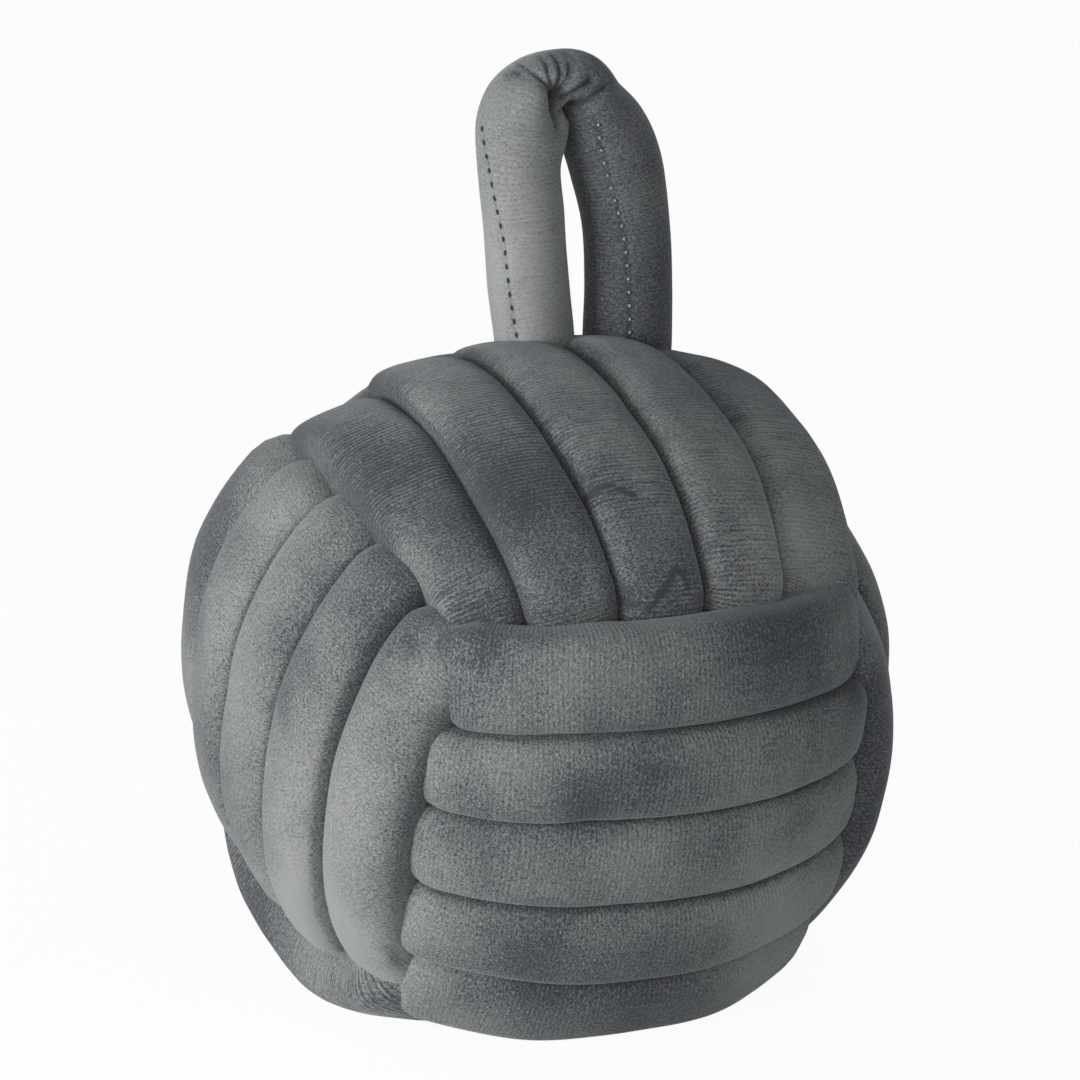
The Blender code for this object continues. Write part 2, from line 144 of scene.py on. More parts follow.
# Seams on the loop, as shares of its length, and their stitches
LEFT_SEAM = (0.10, 0.33)
RIGHT_SEAM = (0.63, 0.96)
SEAM_STEPS = 60
SEAM_GROOVE_REACH = 0.9 * MM
SEAM_GROOVE_DEPTH = 0.4 * MM
# Painted shade along the seam's groove reaches this far
SEAM_SHADE_REACH = 0.35 * MM
STITCH_PITCH = 3.15 * MM
LEFT_STITCH = {"length": 1.4 * MM, "thickness": 0.5 * MM}
RIGHT_STITCH = {"length": 0.8 * MM, "thickness": 0.7 * MM}

# Folds of the loop's skin: depth and width in millimetres, then places across and up
FRONT_FOLDS = (
    (3.2, 1.6, ((-9.4, -15.8), (-10.4, -9.9), (-13.0, -6.4), (-15.6, -3.7), (-18.6, -1.2))),
    (2.3, 1.1, ((-9.4, -12.9), (-8.6, -6.7), (-7.8, -2.4))),
    (2.3, 1.2, ((-8.3, -12.0), (-5.5, -9.9), (-1.9, -7.4))),
    (2.6, 1.8, ((-22.5, -5.0), (-20.0, -6.2), (-16.5, -5.6))),
    (0.9, 0.9, ((-7.1, -0.5), (-4.5, -2.0))),
    (2.0, 1.1, ((-9.3, -13.5), (-8.1, -9.0), (-5.7, -3.9))),
    (1.8, 1.1, ((-9.9, -10.7), (-11.0, -5.6), (-10.5, -1.6))),
    (1.4, 1.0, ((2.2, -9.0), (-3.0, -12.4), (-7.4, -15.0))),
    (3.4, 1.7, ((-9.4, -10.9), (-9.1, -14.4), (-8.9, -18.3))),
)
BACK_FOLDS = (
    (2.4, 1.5, ((-5.6, -17.0), (-6.4, -12.0), (-10.8, -8.2))),
    (1.7, 1.2, ((-5.6, -13.0), (-4.6, -8.0))),
    (2.0, 1.4, ((-5.4, -14.0), (-1.0, -11.6), (3.0, -10.4))),
)
FOLD_FADE_START = 2.0
FOLD_FADE_SPAN = 6.0
# Painted shade in the folds reaches this far
FOLD_SHADE_REACH = 1.3

# The pouch: its ball in degrees of height, then its neck in millimetres, as half width, rise
# above the ball and depth of the pleats as a share
NECK_RISE = 6.0 * MM
POUCH_WALL = 1.0 * MM
POUCH_SIDES = 168
PLEATS = 14
PLEAT_DEPTH = 0.05
POUCH_HEIGHTS = range(-86, 77, 3)
POUCH_NECK = ((8.4, 0.3, 0.07), (6.0, 1.4, 0.09), (4.9, 2.4, 0.10), (4.6, 3.4, 0.10),
              (5.0, 4.5, 0.12), (5.8, 5.5, 0.14), (6.2, 6.0, 0.14))
NARROWEST_BORE = 0.8 * MM
POUCH_THREADS = 320
CLOTH_PITCH = 0.8 * MM

# The sand's level top, as shares of its edge, and the ripples on it
SAND_SHARES = (0.985, 0.93, 0.84, 0.74, 0.63, 0.52, 0.41, 0.30, 0.19, 0.09)
SAND_STEP = 3
RIPPLES = 260
RIPPLE_BENDS = 90
RIPPLE_DEPTH = 0.5 * MM

# The cord round the pouch's neck: strand's radius and lay as shares of its thickness
CORD_STRANDS = 3
CORD_TWISTS = 10
CORD_STEPS = 220
CORD_SIDES = 8
CORD_STRAND_SHARE = 0.25
CORD_LAY_SHARE = 0.24

# The photograph's view
VIEW_AZIMUTH = radians(-24.4)
VIEW_ELEVATION = radians(15)
VIEW_DISTANCE = 2.0
IMAGE_SIDE = 1080
PIXELS_PER_METRE = 4266
CENTRE_BELOW_MIDDLE = 144
SENSOR_WIDTH = 36.0
FARTHEST_SEEN = 50

# Light: two windows by name, direction from the ball, distance, side and power
WINDOWS = (
    ("window_left", (-0.98, -0.22, 0.06), 2.2, 1.2, 57),
    ("window_front", (-0.55, -1.0, 0.30), 2.6, 1.2, 8),
)
ROOM_COLOUR = (0.92, 0.95, 1.0, 1)
ROOM_STRENGTH = 0.25
FLOOR_REACH = 6.0
FLOOR_GREY = (0.86, 0.86, 0.86, 1)
FLOOR_GLOW = 1.05
FLOOR_GLOW_SHARE = 0.90

# Velvet: its rows, streaks and fibres in metres along and across, its noises per metre
KNIT_ROW = 1.2 * MM
ROW_WAVER = 1.6 * MM
STREAK_ALONG = 1.1 * MM
STREAK_ACROSS = 7.0 * MM
FIBRE_ALONG = 0.40 * MM
FIBRE_ACROSS = 0.95 * MM
# How far the painted crease shadow lines waver across
SHADOW_LINE_WAVER = 0.8 * MM
PILE_RELIEF = 0.12 * MM
WAVER_SCALE = 70
SHOWN_SCALE = 31
PATCH_SCALE = 24
SMUDGE_SCALE = 48
TUFT_SCALE = 520
GRAIN_SCALE = 2300
LAY_SPAN = 60 * MM
# Painted shade: where round each strand's section the pile darkens towards a neighbouring strand
CREASE_SHADE_START = 1.20
CREASE_SHADE_END = 1.40
PILE_COLOURS = ((0.062, 0.066, 0.076, 1), (0.360, 0.372, 0.360, 1))

# The other materials: deep and pale colours, and noises per metre
DARK_THREAD = (0.062, 0.067, 0.074, 1)
PALE_THREAD = (0.50, 0.51, 0.52, 1)
CORD_WHITE = (0.72, 0.70, 0.64, 1)
WADDING_COLOURS = ((0.56, 0.55, 0.52, 1), (0.84, 0.83, 0.80, 1))
COTTON_COLOURS = ((0.40, 0.385, 0.35, 1), (0.66, 0.64, 0.60, 1))
SAND_COLOURS = ((0.26, 0.19, 0.12, 1), (0.66, 0.54, 0.38, 1))
THREAD_SCALE = 900
COMBED_ACROSS = 900
COMBED_ALONG = 160
MATTED_SCALE = 260
WADDING_RELIEF = 0.5 * MM
SLUB_SCALE = 180
CLOTH_RELIEF = 0.15 * MM
SAND_GRAIN_SCALE = 1400.0
SAND_DAMP_SCALE = 40
SAND_RELIEF = 0.35 * MM

# Painted light and shade on the pile, partly its lie: place, reach in millimetres and how much
# paler
FRONT_BACK_LIGHT_AND_SHADE = (
    ((-46, -70, 76), 16, 0.20), ((-46, -63, 52), 18, 0.32), ((-14, -74, 51), 13, 0.20),
    ((32, -63, 34), 20, 0.72), ((38, -50, 14), 18, 0.30), ((-6, -57, 12), 18, -0.28),
    ((24, -80, 101), 20, -0.20), ((-17, -81, 74), 12, -0.14), ((-20, -76, 66), 8, -0.14),
    ((50, -60, 76), 14, -0.10), ((50, -66, 100), 13, 0.22),
)
LEFT_RIGHT_LIGHT_AND_SHADE = (
    ((-72, -35, 70), 20, 0.30), ((-66, -24, 36), 20, 0.50), ((-75, -7, 67), 14, 0.16),
    ((-74, -13, 44), 12, -0.26), ((-76, 14, 79), 20, 0.18), ((-67, 2, 119), 16, 0.14),
    ((-56, -48, 108), 16, -0.36), ((-57, -13, 16), 22, 0.50), ((54, -62, 83), 20, -0.08),
    ((70, -20, 66), 20, 0.28), ((-68, -36, 92), 13, 0.24),
)
TOP_BOTTOM_LIGHT_AND_SHADE = (
    ((-51, -47, 119), 14, 0.42), ((-38, -56, 113), 12, 0.16), ((-36, -30, 136), 12, -0.16),
    ((36, -60, 118), 16, 0.40), ((32, -40, 137), 14, 0.18), ((-20, -62, 116), 10, -0.16),
    ((-50, -12, 136), 16, 0.06), ((-50, -60, 95), 14, 0.16), ((-57, -13, 16), 24, 0.45),
)

# Dents with painted crease shadow: reach in millimetres, depth and a line of places
FRONT_BACK_DENT_SHADOWS = (
    (4.5, 0.55, ((-26.6, -78.2, 72.1), (-24.9, -77.7, 67.6), (-22.1, -75.6, 62.4))),
    (2.2, 0.50, ((-21.8, -78.7, 84.6), (-20.6, -79.0, 83.4))),
)
LEFT_RIGHT_DENT_SHADOWS = (
    (1.6, 0.70, ((-53.7, -40.7, 22.5), (-55.7, -42.5, 25.6), (-57.6, -42.8, 27.2))),
    (2.0, 0.50, ((-56.2, -54.0, 101.2), (-56.1, -51.6, 102.9))),
)
TOP_BOTTOM_DENT_SHADOWS = (
    (3.0, 0.80, ((-9.8, -68.6, 110.6), (-9.2, -68.8, 111.6))),
)

# Lines of painted crease shadow on the pile: reach in millimetres, depth and a line of places
TOP_BOTTOM_SHADOW_LINES = (
    (1.5, 0.60, ((-11.4, -49.6, 129.6), (-9.9, -50.4, 132.1), (-7.2, -50.9, 133.1),
                 (-5.3, -51.3, 133.2), (-3.2, -52.6, 132.4), (-1.2, -54.0, 131.0))),
    (1.4, 0.56, ((-4.9, -70.6, 109.2), (-2.4, -70.5, 111.8), (-0.2, -70.0, 113.8),
                 (2.6, -68.4, 117.0), (4.2, -68.5, 116.0), (4.9, -69.9, 112.7))),
)


def maths(operation, turned=False):
    """A method that adds a maths node on the value and the method's own terms."""
    def method(self, *others):
        terms = (self, *others)[::-1] if turned else (self, *others)
        return self.bench.node("ShaderNodeMath", dict(enumerate(terms)), operation=operation)
    return method


class Value:
    """A node's output; sums and products on it add their own maths nodes."""

    def __init__(self, bench, socket):
        self.bench = bench
        self.socket = socket

    __add__, __radd__ = maths("ADD"), maths("ADD", True)
    __sub__, __rsub__ = maths("SUBTRACT"), maths("SUBTRACT", True)
    __mul__, __rmul__ = maths("MULTIPLY"), maths("MULTIPLY", True)
    __truediv__, __rtruediv__ = maths("DIVIDE"), maths("DIVIDE", True)
    __pow__, __abs__, sign = maths("POWER"), maths("ABSOLUTE"), maths("SIGN")
    at_least, at_most = maths("MAXIMUM"), maths("MINIMUM")
    sine, cosine, turn_from = maths("SINE"), maths("COSINE"), maths("ARCTAN2")
    floor = maths("FLOOR")

    def rising(self, low, high):
        """0 below low, 1 above high, smooth between."""
        return self.bench.node("ShaderNodeMapRange", {
            "Value": self, "From Min": low, "From Max": high}, interpolation_type="SMOOTHSTEP")


class Bench:
    """A node tree to which nodes are added by one call each."""

    def __init__(self, tree):
        self.tree = tree

    def node(self, kind, sockets=None, output=0, **settings):
        made = self.tree.nodes.new(kind)
        for name, value in settings.items():
            setattr(made, name, value)
        for name, value in (sockets or {}).items():
            socket = made.inputs[name]
            if isinstance(value, Value):
                self.tree.links.new(value.socket, socket)
            else:
                socket.default_value = value
        return Value(self, made.outputs[output])

    def vector(self, x, y, z):
        return self.node("ShaderNodeCombineXYZ", {"X": x, "Y": y, "Z": z})

    def parts(self, vector):
        made = self.node("ShaderNodeSeparateXYZ", {0: vector}).socket.node
        return [Value(self, socket) for socket in made.outputs]

    def join(self, operation, first, second, output=0):
        return self.node("ShaderNodeVectorMath", {0: first, 1: second}, output,
                         operation=operation)

    def scaled(self, vector, amount):
        return self.node("ShaderNodeVectorMath", {0: vector, "Scale": amount},
                         operation="SCALE")

    def noise(self, place, scale, detail=2.0, roughness=0.5, output=0):
        return self.node("ShaderNodeTexNoise", {"Vector": place, "Scale": scale,
                                                "Detail": detail, "Roughness": roughness}, output)

    def mixed(self, share, first, second):
        return self.node("ShaderNodeMix", {0: share, 6: first, 7: second}, 2, data_type="RGBA")


def smooth_step(x):
    x = min(max(x, 0.0), 1.0)
    return x * x * (3 - 2 * x)


def linked_object(name, data):
    """A new object in the scene, with this data."""
    made = bpy.data.objects.new(name, data)
    bpy.context.collection.objects.link(made)
    return made


def new_material(name, roughness, sheen=0.0, sheen_roughness=0.5, sheen_tint=(1, 1, 1, 1)):
    """A material with its shader's constant values set, its bench and the shaded place."""
    material = bpy.data.materials.new(name)
    material.use_nodes = True
    shader = material.node_tree.nodes["Principled BSDF"]
    for label, value in (("Roughness", roughness), ("Specular IOR Level", 0.25),
                         ("Sheen Weight", sheen), ("Sheen Roughness", sheen_roughness),
                         ("Sheen Tint", sheen_tint)):
        shader.inputs[label].default_value = value
    bench = Bench(material.node_tree)
    return material, bench, bench.node("ShaderNodeTexCoord", None, "Object")


def surfaced(material, bench, share, colours, height=None, relief=0.0):
    """The material, mixed from two colours by share and raised, relief in metres."""
    shader = material.node_tree.nodes["Principled BSDF"]
    colour = bench.mixed(share, *colours)
    bench.tree.links.new(colour.socket, shader.inputs["Base Color"])
    if height is not None:
        bump = bench.node("ShaderNodeBump", {"Height": height, "Distance": relief,
                                             "Strength": 1.0})
        bench.tree.links.new(bump.socket, shader.inputs["Normal"])
    return material


def mesh_value(bench, name, output="Fac"):
    """What the mesh itself holds under this name."""
    return bench.node("ShaderNodeAttribute", None, output, attribute_name=name)


def velvet(name, offset, crease_shade=0.0, ribbed=0.4, speckle=2.4, patched=1.9, shadow_lines=()):
    """Short pile on a knitted back: rows across the rope, brushed patches and fine grain.

    The mesh says how the pile lies: lay holds metres along and across the rope and the pile's
    tone, its own lie with painted light and shade added in places; the shade marks hold painted
    shade in creases, folds and the seam's groove, and hemmed is 1 where another strand lies
    beside. The crease shade is how much painted shade darkens the pile there, between strands,
    ribbed how plainly the rows show, speckle how strong the grain is and patched how far the
    pile's lie varies. The last argument holds lines of painted crease shadow: reach in
    millimetres, depth and places.
    """
    material, bench, place = new_material(name, 0.95, 0.35, 0.45, (0.75, 0.80, 0.82, 1))
    moved = bench.join("ADD", place, offset)
    along, across, pile_tone_and_light = bench.parts(mesh_value(bench, "lay", "Vector"))
    waver = (bench.noise(moved, WAVER_SCALE) - 0.5) * ROW_WAVER
    row = ((along + waver) * (2 * pi / KNIT_ROW)).sine()
    streak_place = bench.vector((along + waver) / STREAK_ALONG, across / STREAK_ACROSS, 0.0)
    streak = bench.noise(streak_place, 1.0) - 0.5
    fibre_place = bench.vector(along / FIBRE_ALONG, across / FIBRE_ACROSS, 0.0)
    fibre = bench.noise(fibre_place, 1.0, 2.0, 0.7)
    grain = fibre * 0.7 + bench.noise(moved, GRAIN_SCALE, 1.0) * 0.6 - 0.65
    tuft = bench.noise(moved, TUFT_SCALE, 1.0) - 0.5
    patch = bench.noise(moved, PATCH_SCALE, 3.0) - 0.5
    smudge = bench.noise(moved, SMUDGE_SCALE, 3.0, 0.55).rising(0.56, 0.82)
    shown = bench.noise(moved, SHOWN_SCALE).rising(0.38, 0.60) * 0.85 + 0.15
    rows = (row * 0.15 + streak) * shown * ribbed
    # Painted shade in the creases: the pile darkens near each strand's side where another strand
    # lies beside
    round_side = abs(across) * (2 * pi / LAY_SPAN) + tuft * 0.15
    pressed = round_side.rising(CREASE_SHADE_START, CREASE_SHADE_END) * mesh_value(bench, "hemmed") * crease_shade
    # The pile's tone: the band's own tone, with painted light and shade added round listed places
    tone = pile_tone_and_light + patch * patched - smudge * 0.42 + rows + tuft * 0.12
    # Painted shade from the mesh: crease shadows on the ropes, the loop's folds and its seam
    # groove
    tone = tone - mesh_value(bench, "painted_shade") * (0.50 + tuft * 0.6)
    tone = tone * (1 - pressed) + grain * speckle
    # Painted crease shadow along listed lines
    for reach, depth, line in shadow_lines:
        away = nearest_line(bench, place, line) + streak * SHADOW_LINE_WAVER
        tone = tone - (1 - away.rising(0.0, reach * MM)) * (depth + grain * 0.8)
    height = row * (ribbed * 0.5) + streak * ribbed + grain * 0.9 + tuft * 0.3
    return surfaced(material, bench, tone.at_least(0.0).at_most(1.0), PILE_COLOURS, height,
                    PILE_RELIEF)


def nearest_line(bench, place, line):
    """Distance in metres from the shaded place to a line of places in millimetres."""
    nearest = None
    for start, end in zip(line, line[1:]):
        run = (Vector(end) - Vector(start)) * MM
        from_start = bench.join("SUBTRACT", place, tuple(Vector(start) * MM))
        share = bench.join("DOT_PRODUCT", from_start, tuple(run / run.length_squared), "Value")
        along = bench.scaled(tuple(run), share.at_least(0.0).at_most(1.0))
        away = bench.join("DISTANCE", from_start, along, "Value")
        nearest = away if nearest is None else nearest.at_most(away)
    return nearest


def meridian_table():
    """The ball's round from equator to pole for radius 1: arc lengths and heights."""
    reach = 2 / BALL_POWER
    lengths, heights, before = [0.0], [0.0], (1.0, 0.0)
    for step in range(1, MERIDIAN_STEPS + 1):
        angle = pi / 2 * step / MERIDIAN_STEPS
        place = (cos(angle) ** reach, sin(angle) ** reach)
        lengths.append(lengths[-1] + hypot(place[0] - before[0], place[1] - before[1]))
        heights.append(place[1])
        before = place
    return lengths, heights


MERIDIAN_LENGTHS, MERIDIAN_HEIGHTS = meridian_table()


def height_at(level):
    """Height, for radius 1, of the strand at this level when strands lie side by side."""
    wanted = abs(level) * STRAND_PITCH / OUTER_LAYER
    return copysign(float(np.interp(wanted, MERIDIAN_LENGTHS, MERIDIAN_HEIGHTS)), level)


def fold_from_tuck(angle, level, early):
    """Angle from the nearest tuck, less by the early dive of this strand at that tuck."""
    ahead, behind = [float(np.interp(level, range(-2, 3), strands)) for strands in early]
    sooner = ahead * smooth_step(2 * cos(angle)) + behind * smooth_step(-2 * cos(angle))
    return abs((angle + pi / 2) % pi - pi / 2) - radians(sooner)


def strand_centre(level, angle, fold, bulge):
    """Centre of the strand at this level and angle, outside at both Y sides of the ball."""
    height = height_at(level * LEVEL_SPREAD)
    risen = smooth_step((fold - DIVE_START) / (DIVE_END - DIVE_START))
    layer = INNER_LAYER + LAYER_STEP * risen
    if fold >= CORNER_ANGLE:
        opened = smooth_step((fold - CORNER_ANGLE) / (OPEN_ANGLE - CORNER_ANGLE))
        share = CORNER_SHARE + (1 - CORNER_SHARE) * opened
    else:
        share = TUCKED_SHARE + (CORNER_SHARE - TUCKED_SHARE) * smooth_step(fold / CORNER_ANGLE)
    level_round = (1 - abs(height) ** BALL_POWER) ** (1 / BALL_POWER)
    first, second = bulge[:2] if height < 0 else bulge[2:]
    stands_out = first + (second - first) * smooth_step(2 * sin(angle))
    level_round *= 1 + stands_out * height * height
    squareness = abs(cos(angle)) ** BALL_POWER + abs(sin(angle)) ** BALL_POWER
    level_round /= squareness ** (1 / BALL_POWER)
    return Vector((level_round * cos(angle), level_round * sin(angle), height * share)) * layer


def level_at(angle):
    """Which strand the rope has reached: it climbs one level while tucked at +X."""
    turn = (angle + pi) // (2 * pi)
    local = angle - turn * 2 * pi
    climbed = smooth_step((local + CLIMB_HALF_ANGLE) / (2 * CLIMB_HALF_ANGLE))
    level = turn - 1 + climbed - EDGE_LEVEL
    return min(max(level, -EDGE_LEVEL), EDGE_LEVEL)


def rope_station(angle, bulge, roundness, early, pulls):
    """Centre, outward normal, half width, half thickness, fullness and free side here.

    The free side points to where no strand lies beside, and is nil inside the band.
    """
    level = level_at(angle)
    fold = fold_from_tuck(angle, level, early)
    centre = strand_centre(level, angle, fold, bulge)
    onward = angle + TANGENT_STEP
    ahead = strand_centre(level, onward, fold_from_tuck(onward, level, early), bulge)
    tangent = (ahead - centre).normalized()
    beside = [strand_centre(level + step, angle, fold, bulge) - centre
              for step in (-1, 1) if abs(level + step) <= EDGE_LEVEL]
    pitch_here = min((across - across.dot(tangent) * tangent).length for across in beside)
    slope = [copysign(abs(value / OUTER_LAYER) ** (BALL_POWER - 1), value) for value in centre]
    normal = Vector((slope[0], slope[1], slope[2] * SECTION_TILT)).normalized()
    full = smooth_step((fold - THICKENING_START) / (THICKENING_END - THICKENING_START))
    thickness = TUCKED_THICKNESS + (STRAND_THICKNESS - TUCKED_THICKNESS) * full
    fullness = CORNER_FULLNESS + (roundness - CORNER_FULLNESS) * full
    cornered = smooth_step((OPEN_ANGLE - fold) / (OPEN_ANGLE - CORNER_ANGLE))
    at_edge = smooth_step(abs(level) - (EDGE_LEVEL - 1)) * full
    swell = EDGE_SWELL + cornered * CORNER_SWELL
    for side, face, end, reach in pulls:
        here = smooth_step(PULL_END_SHARPNESS * end * cos(angle)) if end else 1.0
        swell += reach * MM * here * smooth_step(0.5 + face * sin(angle)) * (side * level > 0)
    edge = at_edge * swell
    free_side = Vector((0, 0, 1 if level > 0 else -1))
    free_side = (free_side - free_side.dot(normal) * normal).normalized()
    half_width = (pitch_here + ROPE_OVERLAP * full + edge) / 2
    return (centre + free_side * (edge / 2), normal, half_width, thickness / 2, fullness,
            free_side * at_edge)


def rope_stations(bulge, roundness, early, pulls):
    """Rows of centre, aside, outward, fullness and openness along one rope, round at its ends.

    Bulge is how far the outer strands stand out: on the band's first side for its first
    and second face, then on its second side. Roundness is how square the section is.
    Openness tells towards which side, aside or against it, the rope has no neighbour.
    """
    turned = TURNS * 2 * pi - 2 * END_ANGLE
    steady = [END_ANGLE + turned * step / ROPE_STATIONS for step in range(ROPE_STATIONS + 1)]
    stations = [rope_station(angle + CORNER_CROWDING / 4 * sin(4 * angle), bulge, roundness,
                             early, pulls) for angle in steady]
    centres = [station[0] for station in stations]
    rows = []
    for index, (centre, normal, half_width, half_thickness, fullness, free) in enumerate(stations):
        before = centres[max(index - 1, 0)]
        after = centres[min(index + 1, len(centres) - 1)]
        tangent = (after - before).normalized()
        outward = (normal - normal.dot(tangent) * tangent).normalized()
        aside = tangent.cross(outward)
        rows.append((centre, aside * half_width, outward * half_thickness, fullness,
                     aside.dot(free)))
    return rounded_ends(rows)


def rounded_ends(rows):
    """Rows with a round closed end added at both ends, as a sewn tube has."""
    def end(near, far):
        direction = (near[0] - far[0]).normalized()
        angles = [pi / 2 * step / ROUND_END_STEPS for step in range(1, ROUND_END_STEPS + 1)]
        return [(near[0] + direction * (near[2].length * sin(angle)), near[1] * cos(angle),
                 near[2] * cos(angle)) + tuple(near[3:]) for angle in angles]

    return end(rows[0], rows[1])[::-1] + rows + end(rows[-1], rows[-2])


def stations_object(name, rows, pile_tone_and_light):
    """Loose points, one a station, that carry what the skin needs to know there."""
    centres, aside, outward, fullness, free = map(np.array, zip(*rows))
    mesh = bpy.data.meshes.new(name)
    mesh.vertices.add(len(rows))
    mesh.vertices.foreach_set("co", centres.ravel())
    stretches = np.linalg.norm(np.diff(centres + outward, axis=0), axis=1)
    run = np.concatenate([[0.0], np.cumsum(stretches)])
    for label, values in (("aside", aside), ("outward", outward), ("fullness", fullness),
                          ("run", run), ("free", free), ("pile_tone_and_light", np.array(pile_tone_and_light))):
        kind, field = ("FLOAT_VECTOR", "vector") if values.ndim > 1 else ("FLOAT", "value")
        mesh.attributes.new(label, kind, "POINT").data.foreach_set(field, values.ravel())
    return linked_object(name, mesh)


def opened_tree(name, output, **inputs):
    """A new geometry tree's bench, and its inputs as values by name."""
    tree = bpy.data.node_groups.new(name, "GeometryNodeTree")
    for label, kind in inputs.items():
        tree.interface.new_socket(name=label, in_out="INPUT", socket_type="NodeSocket" + kind)
    tree.interface.new_socket(name=output, in_out="OUTPUT", socket_type="NodeSocketGeometry")
    bench = Bench(tree)
    given = tree.nodes.new("NodeGroupInput")
    return bench, {socket.name: Value(bench, socket) for socket in given.outputs if socket.name}


def closed_tree(bench, result, cover):
    """The bench's tree, which gives this result covered with a material."""
    covered = bench.node("GeometryNodeSetMaterial", {"Geometry": result, "Material": cover})
    out = bench.tree.nodes.new("NodeGroupOutput")
    bench.tree.links.new(covered.socket, out.inputs[0])
    return bench.tree


def skin_tree():
    """Geometry nodes that lay a closed stuffed skin round a row of stations."""
    bench, taken = opened_tree(
        "stuffed_skin", "skin", stations="Geometry", sides="Int", crowding="Float",
        waver="Float", waver_size="Float", lumps="Float", lump_size="Float", cover="Material")
    count = bench.node("GeometryNodeAttributeDomainSize", {"Geometry": taken["stations"]},
                       component="MESH")
    sides = taken["sides"] + 1
    grid = bench.node("GeometryNodeMeshGrid", {"Vertices X": count, "Vertices Y": sides})
    index = bench.node("GeometryNodeInputIndex")
    station = (index / sides + ROUNDING_GUARD).floor()
    share = (index - station * sides) / taken["sides"]
    angle = share * (2 * pi) - pi / 2 + taken["crowding"] * (share * (2 * pi)).sine()

    def sampled(field, kind):
        return bench.node("GeometryNodeSampleIndex", {
            "Geometry": taken["stations"], "Value": field, "Index": station},
            data_type=kind, domain="POINT")

    def held(name, kind="FLOAT"):
        field = bench.node("GeometryNodeInputNamedAttribute", {"Name": name}, data_type=kind)
        return sampled(field, kind)

    def stored(geometry, name, kind, value):
        return bench.node("GeometryNodeStoreNamedAttribute", {
            "Geometry": geometry, "Name": name, "Value": value}, data_type=kind, domain="POINT")

    def shifted(geometry, **by):
        return bench.node("GeometryNodeSetPosition", {"Geometry": geometry, **by})

    centre = sampled(bench.node("GeometryNodeInputPosition"), "FLOAT_VECTOR")
    fullness = held("fullness")
    width, depth = angle.cosine(), angle.sine()
    reach = (abs(width) ** fullness + abs(depth) ** fullness) ** (1 / fullness)
    aside = bench.scaled(held("aside", "FLOAT_VECTOR"), width / reach)
    outward = bench.scaled(held("outward", "FLOAT_VECTOR"), depth / reach)
    place = bench.join("ADD", centre, bench.join("ADD", aside, outward))
    lay = bench.vector(held("run"), (share - 0.5) * LAY_SPAN, held("pile_tone_and_light"))
    laid = stored(shifted(grid, Position=place), "lay", "FLOAT_VECTOR", lay)
    # Where another strand lies beside: only there does the painted crease shade darken the pile
    open_side = (held("free") * width.sign()).at_least(0.0)
    hemmed = stored(laid, "hemmed", "FLOAT", 1 - open_side)
    closed = bench.node("GeometryNodeMergeByDistance",
                        {"Geometry": hemmed, "Distance": MERGE_DISTANCE})
    here = bench.node("GeometryNodeInputPosition")
    lump = bench.noise(here, 1 / taken["lump_size"], 1.0) - 0.5
    lumps = bench.scaled(bench.node("GeometryNodeInputNormal"), lump * taken["lumps"])
    drift = bench.join("SUBTRACT", bench.noise(here, 1 / taken["waver_size"], 1.0, 0.5, 1),
                       (0.5, 0.5, 0.5))
    wavered = shifted(shifted(closed, Offset=lumps), Offset=bench.scaled(drift, taken["waver"]))
    smooth = bench.node("GeometryNodeSetShadeSmooth", {"Geometry": wavered})
    real = bench.node("GeometryNodeRealizeInstances", {"Geometry": smooth})
    return closed_tree(bench, real, taken["cover"])


def apply_tree(name, source, tree, **values):
    """A plain mesh object from a source object and a node tree with these inputs."""
    modifier = source.modifiers.new("rule", "NODES")
    modifier.node_group = tree
    for item in tree.interface.items_tree:
        if item.item_type == "SOCKET" and item.in_out == "INPUT" and item.name in values:
            modifier[item.identifier] = values[item.name]
    graph = bpy.context.evaluated_depsgraph_get()
    mesh = bpy.data.meshes.new_from_object(source.evaluated_get(graph),
                                           preserve_all_data_layers=True, depsgraph=graph)
    mesh.name = name
    bpy.data.objects.remove(source, do_unlink=True)
    return linked_object(name, mesh)


def mesh_rows(piece, field):
    """The mesh's places ("co") or normals ("normal"), a row a point."""
    rows = np.empty(len(piece.data.vertices) * 3, np.float32)
    piece.data.vertices.foreach_get(field, rows)
    return rows.reshape(-1, 3).astype(float)


def set_points(piece, points):
    piece.data.vertices.foreach_set("co", points.astype(np.float32).ravel())
    piece.data.update()


def set_painted_shade(piece, shade_marks):
    # Painted shade, stored on the mesh for the pile's colour
    layer = piece.data.attributes.new("painted_shade", "FLOAT", "POINT")
    layer.data.foreach_set("value", np.asarray(shade_marks, np.float32))


def distance_to_line(points, line):
    """Least distance from each point to a line of straight stretches."""
    least = np.full(len(points), np.inf)
    for start, end in zip(line, line[1:]):
        start, end = np.array(start), np.array(end)
        stretch = end - start
        share = np.clip((points - start) @ stretch / (stretch @ stretch), 0, 1)
        away = np.linalg.norm(points - (start + share[:, None] * stretch), axis=1)
        least = np.minimum(least, away)
    return least


def settle(piece):
    """Press the underside flat on the floor, softly, as the frame's base is."""
    points = mesh_rows(piece, "co")
    height = points[:, 2] - CENTRE_HEIGHT + PRESS_HEIGHT
    pressed = (height + np.sqrt(height ** 2 + 4 * PRESS_SOFTNESS ** 2)) / 2
    points[:, 2] = np.maximum(pressed - (PRESS_HEIGHT - CENTRE_HEIGHT), 0.0)
    set_points(piece, points)


